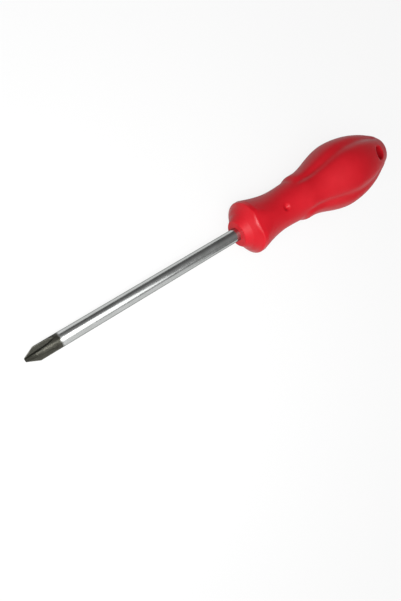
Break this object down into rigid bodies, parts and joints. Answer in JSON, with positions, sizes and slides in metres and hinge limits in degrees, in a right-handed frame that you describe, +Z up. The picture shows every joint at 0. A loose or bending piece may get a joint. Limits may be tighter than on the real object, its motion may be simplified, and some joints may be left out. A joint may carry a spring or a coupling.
{
  "type": "cross-head screwdriver",
  "caption": "Cross-head screwdriver: a round steel blade with a milled cross point in a solid red plastic handle with a guard, slim neck, lobed grip and hanging hole.",
  "frame": {"origin": "on the ground, under the middle of the tool's bounding box as the tool lies at rest", "axes": "+Z up, the side of the handle with the moulding gate; +X level, from the point towards the butt. The tool's own axis rises 4.71 degrees towards the butt."},
  "size_m": [0.1968, 0.0332, 0.0332],
  "materials": {
    "blade": "satin plated steel, black oxide on the milled point",
    "handle": "smooth semi-gloss moulded plastic, coloured through"
  },
  "bodies": {
    "root": {"blade": "blade", "handle": "handle"}
  },
  "joints": []
}
